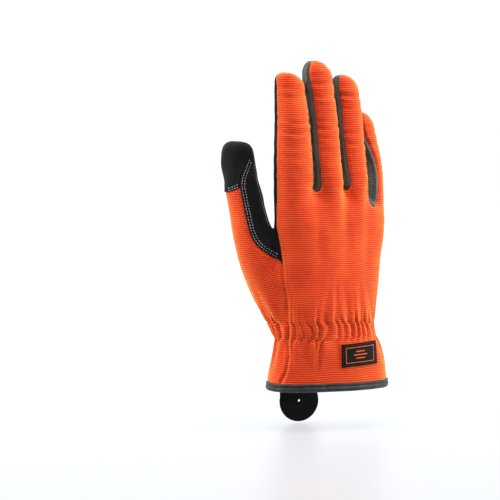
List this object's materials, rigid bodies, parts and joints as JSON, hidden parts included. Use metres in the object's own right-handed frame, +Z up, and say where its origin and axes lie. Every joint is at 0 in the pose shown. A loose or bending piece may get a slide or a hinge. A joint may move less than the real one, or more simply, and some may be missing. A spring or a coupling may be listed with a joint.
{
  "type": "pvc coated glove",
  "caption": "Right-hand slip-on work glove with a ribbed knit back, suede palm, knit finger walls, gathered wrist, bound hem, label, strap and pull tab.",
  "frame": {"origin": "centre of the cuff's opening, level with the lower edge of the hem, where the hand goes in", "axes": "+Z up from the hem along the fingers, -Y out of the back of the hand, +Y out of the palm, -X towards the thumb, +X towards the little finger"},
  "size_m": [0.1273, 0.0543, 0.2733],
  "materials": {
    "knit_orange": "matte",
    "knit_grey": "matte",
    "suede_black": "matte",
    "binding_charcoal": "matte",
    "label_black": "satin",
    "webbing_grey": "matte"
  },
  "bodies": {
    "root": {"back_panel": "knit_orange", "side_panel": "knit_orange", "palm_panel": "suede_black", "thumb_cap": "suede_black", "fourchette_index_middle": "knit_grey", "fourchette_middle_ring": "knit_grey", "fourchette_ring_pinky": "knit_grey", "hem_binding": "binding_charcoal", "label": "label_black", "wrist_strap": "webbing_grey", "pull_tab": "suede_black"}
  },
  "joints": []
}
